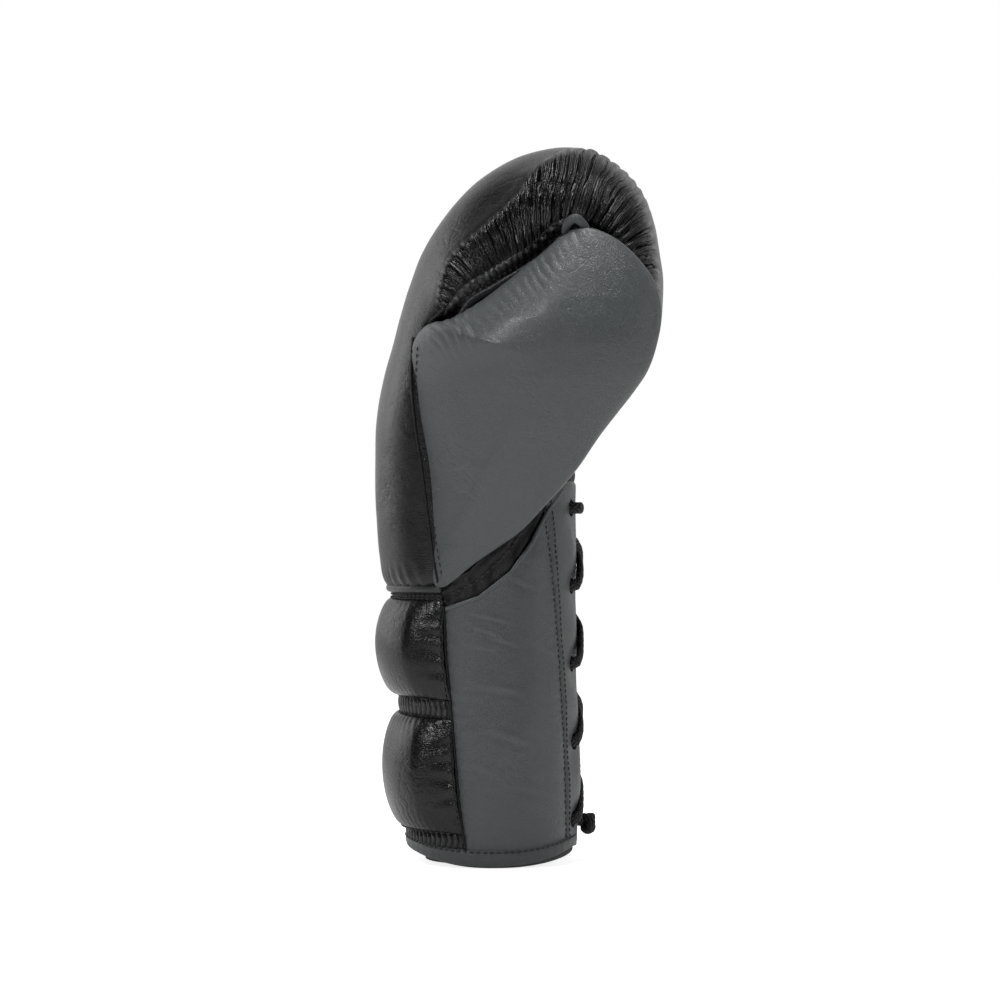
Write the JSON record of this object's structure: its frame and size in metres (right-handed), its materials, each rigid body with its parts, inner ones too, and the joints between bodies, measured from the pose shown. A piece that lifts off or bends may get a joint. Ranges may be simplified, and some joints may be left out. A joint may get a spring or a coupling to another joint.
{
  "type": "boxing glove",
  "caption": "Padded lace-up boxing glove for the left hand, with curved fist, thumb tied to the fist, padded wrist rolls and a laced cuff",
  "frame": {"origin": "centre of the hand opening, in the plane of the hem of the cuff", "axes": "+Z runs from the hem to the knuckles, +X points to the palm and the lacing, -X to the back of the hand, -Y to the thumb"},
  "size_m": [0.1306, 0.1498, 0.3235],
  "materials": {
    "black_leather": "semi-gloss grained black leather",
    "grey_leather": "satin grained mid-grey leather",
    "dark_trim": "dark grey piping and tie leather",
    "padding": "layered closed-cell foam padding",
    "lining": "black woven lining",
    "lace_cord": "flat black braided cord"
  },
  "bodies": {
    "cuff": {"wrist_piping": "dark_trim", "thumb_side_gusset": "black_leather", "little_side_gusset": "black_leather", "heel_gusset": "grey_leather", "upper_roll_cover": "black_leather", "upper_roll_foam": "padding", "cuff_band": "black_leather", "lower_roll_cover": "black_leather", "lower_roll_foam": "padding", "hem_band": "black_leather", "thumb_side_cuff_panel": "grey_leather", "thumb_side_cuff_foam": "padding", "thumb_side_lace_facing": "grey_leather", "cuff_lining": "lining", "lace_tongue": "black_leather", "hem_binding": "grey_leather", "lace": "lace_cord", "lace_knot": "lace_cord"},
    "hand": {"back_cover": "black_leather", "back_foam": "padding", "palm_cover": "grey_leather", "palm_foam": "padding", "hand_lining": "lining", "grip_bar": "lining", "thumb_tie": "dark_trim"},
    "thumb": {"thumb_cover": "grey_leather", "thumb_foam": "padding", "thumb_lining": "lining"},
    "lace_flap": {"little_side_cuff_panel": "grey_leather", "little_side_cuff_foam": "padding", "little_side_lace_facing": "grey_leather", "flap_lining": "lining", "flap_hem_binding": "grey_leather"}
  },
  "joints": [
    {"name": "wrist_flex", "type": "hinge", "parent": "cuff", "child": "hand", "pos_m": [-0.02224, 0, 0.122], "axis": [0, 1, 0], "range_deg": [0, 6], "stiffness_Nm_per_rad": 12, "deforming": ["wrist_piping", "thumb_side_gusset", "little_side_gusset", "heel_gusset"]},
    {"name": "thumb_flex", "type": "hinge", "parent": "hand", "child": "thumb", "pos_m": [-0.005, -0.062, 0.14], "axis": [0, 1, 0], "range_deg": [0, 5], "stiffness_Nm_per_rad": 3, "deforming": ["thumb_tie"]},
    {"name": "cuff_opening", "type": "hinge", "parent": "cuff", "child": "lace_flap", "pos_m": [-0.018, 0.0505, 0.09], "axis": [0, 0, 1], "range_deg": [0, 15], "stiffness_Nm_per_rad": 1, "deforming": ["lace", "lace_knot", "little_side_gusset"]}
  ]
}
